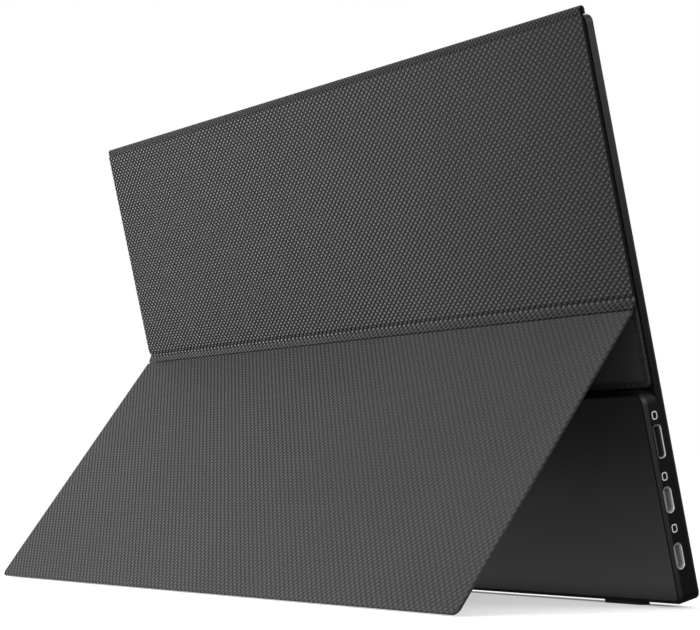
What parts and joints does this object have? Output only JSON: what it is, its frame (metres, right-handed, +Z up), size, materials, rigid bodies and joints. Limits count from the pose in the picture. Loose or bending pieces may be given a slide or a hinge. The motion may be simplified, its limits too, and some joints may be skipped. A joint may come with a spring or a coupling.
{
  "type": "portable monitor with folding cover",
  "caption": "Slim portable monitor that leans on its own folding magnetic cover, with data, video and audio sockets, a power button and a menu dial.",
  "frame": {"origin": "on the table, under the middle of the box round the whole, in the pose in which it stands", "axes": "+Z up; the screen faces -Y and leans back; the leg stands out to +Y; the data and video sockets are on the -X side and the controls on the +X side"},
  "size_m": [0.358, 0.1112, 0.2108],
  "materials": {
    "front_frame": "matte",
    "screen_glass": "satin",
    "optical_sheet": "satin",
    "reflector": "matte",
    "backlight_frame": "matte",
    "led_strip": "matte",
    "driver_board": "satin",
    "tape": "matte",
    "steel": "satin",
    "housing": "satin",
    "chin_cover": "satin",
    "circuit_board": "satin",
    "chips": "matte",
    "shield": "satin",
    "thermal_pad": "matte",
    "ribbon": "satin",
    "wires": "satin",
    "socket_shell": "satin",
    "audio_socket": "matte",
    "switches": "matte",
    "controls": "satin",
    "status_light": "gloss",
    "speakers": "matte",
    "screws": "satin",
    "feet": "matte",
    "cover_skin": "matte",
    "cover_fold": "matte",
    "cover_lining": "matte",
    "stiffener": "matte",
    "magnets": "satin"
  },
  "bodies": {
    "monitor": {"front_frame": "front_frame", "lcd_cell": "screen_glass", "optical_films": "optical_sheet", "light_guide": "optical_sheet", "reflector_sheet": "reflector", "backlight_frame": "backlight_frame", "led_strip": "led_strip", "panel_driver_board": "driver_board", "panel_tape": "tape", "holding_plate": "steel", "rear_housing": "housing", "chin_cover": "chin_cover", "main_board": "circuit_board", "key_board": "circuit_board", "board_chips": "chips", "chip_shield": "shield", "thermal_pad": "thermal_pad", "panel_cable": "ribbon", "key_cable": "ribbon", "speaker_wires": "wires", "video_socket": "socket_shell", "data_socket_upper": "socket_shell", "data_socket_lower": "socket_shell", "audio_socket": "audio_socket", "power_switch": "switches", "dial_switch": "switches", "status_light": "status_light", "speaker_left": "speakers", "speaker_right": "speakers", "board_screws": "screws", "foot_left": "feet", "foot_right": "feet", "attach_skin": "cover_skin", "spine_fold": "cover_fold", "attach_lining": "cover_lining", "attach_board": "stiffener", "attach_magnets": "magnets"},
    "upper_panel": {"upper_skin": "cover_skin", "upper_board": "stiffener", "upper_lining": "cover_lining", "upper_magnets": "magnets", "fold_web": "cover_fold"},
    "leg": {"leg_skin": "cover_skin", "leg_board": "stiffener", "leg_lining": "cover_lining", "leg_magnets": "magnets"},
    "power_button": {"power_button": "controls"},
    "dial_carrier": {"dial_bracket": "switches"},
    "menu_dial": {"menu_dial": "controls"}
  },
  "joints": [
    {"name": "cover_open", "type": "hinge", "parent": "monitor", "child": "upper_panel", "pos_m": [0, 0.00087, 0.20936], "axis": [1, 0, 0], "range_deg": [0, 180], "deforming": ["spine_fold"]},
    {"name": "leg_fold", "type": "hinge", "parent": "upper_panel", "child": "leg", "pos_m": [0, -0.02179, 0.10525], "axis": [1, 0, 0], "range_deg": [-40, 114], "deforming": ["fold_web"]},
    {"name": "power_press", "type": "slide", "parent": "monitor", "child": "power_button", "axis": [-1, 0, 0], "range_m": [0, 0.0004], "stiffness_N_per_m": 2500, "springref_m": -0.0003},
    {"name": "dial_press", "type": "slide", "parent": "monitor", "child": "dial_carrier", "axis": [-1, 0, 0], "range_m": [0, 0.00035], "stiffness_N_per_m": 2500, "springref_m": -0.0003},
    {"name": "dial_turn", "type": "hinge", "parent": "dial_carrier", "child": "menu_dial", "pos_m": [0.1733, -0.04026, 0.03988], "axis": [0, 0.9703, -0.2419], "range_deg": [-15, 15], "stiffness_Nm_per_rad": 0.02}
  ]
}
